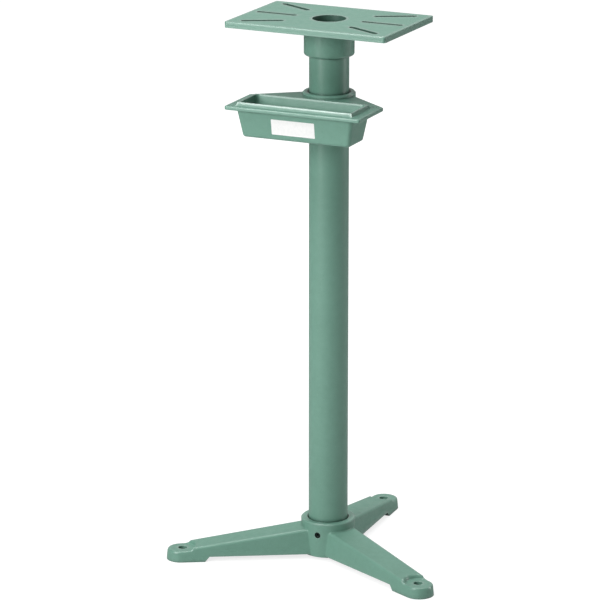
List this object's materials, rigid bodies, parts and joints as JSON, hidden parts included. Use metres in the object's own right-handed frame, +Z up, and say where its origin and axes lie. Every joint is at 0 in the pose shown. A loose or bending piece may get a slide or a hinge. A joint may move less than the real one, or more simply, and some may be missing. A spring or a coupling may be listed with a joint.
{
  "type": "bench grinder stand",
  "caption": "Floor pedestal for a bench grinder: a cast base with three legs, a tubular steel column, a clamp-on cast coolant tray and a slotted cast table on top.",
  "frame": {"origin": "on the column's axis, in the plane of the feet's undersides: the centre of the circle through the three floor bolt holes", "axes": "+X along the table's long side (to the right seen from the front), +Y to the rear (the tray hangs at the front, -Y), +Z up along the column"},
  "size_m": [0.4407, 0.3949, 0.8433],
  "materials": {
    "casting_enamel": "satin sage-green enamel over a slightly grainy iron casting",
    "column_enamel": "satin sage-green enamel on smooth steel tube",
    "black_steel": "black-oxide alloy steel, lightly oiled"
  },
  "bodies": {
    "base": {"base_casting": "casting_enamel", "base_set_screw_front": "black_steel", "base_set_screw_right": "black_steel", "base_set_screw_left": "black_steel"},
    "column": {"column_tube": "column_enamel"},
    "table": {"table_casting": "casting_enamel", "table_set_screw_left": "black_steel", "table_set_screw_right": "black_steel"},
    "tray": {"tray_casting": "casting_enamel", "tray_set_screw": "black_steel"}
  },
  "joints": [
    {"name": "column_turn", "type": "hinge", "parent": "base", "child": "column", "pos_m": [0, 0, 0.03], "axis": [0, 0, 1], "continuous": true},
    {"name": "table_turn", "type": "hinge", "parent": "column", "child": "table", "pos_m": [0, 0, 0.811], "axis": [0, 0, 1], "continuous": true},
    {"name": "tray_lift", "type": "slide", "parent": "column", "child": "tray", "axis": [0, 0, 1], "range_m": [-0.632, 0.055]}
  ]
}
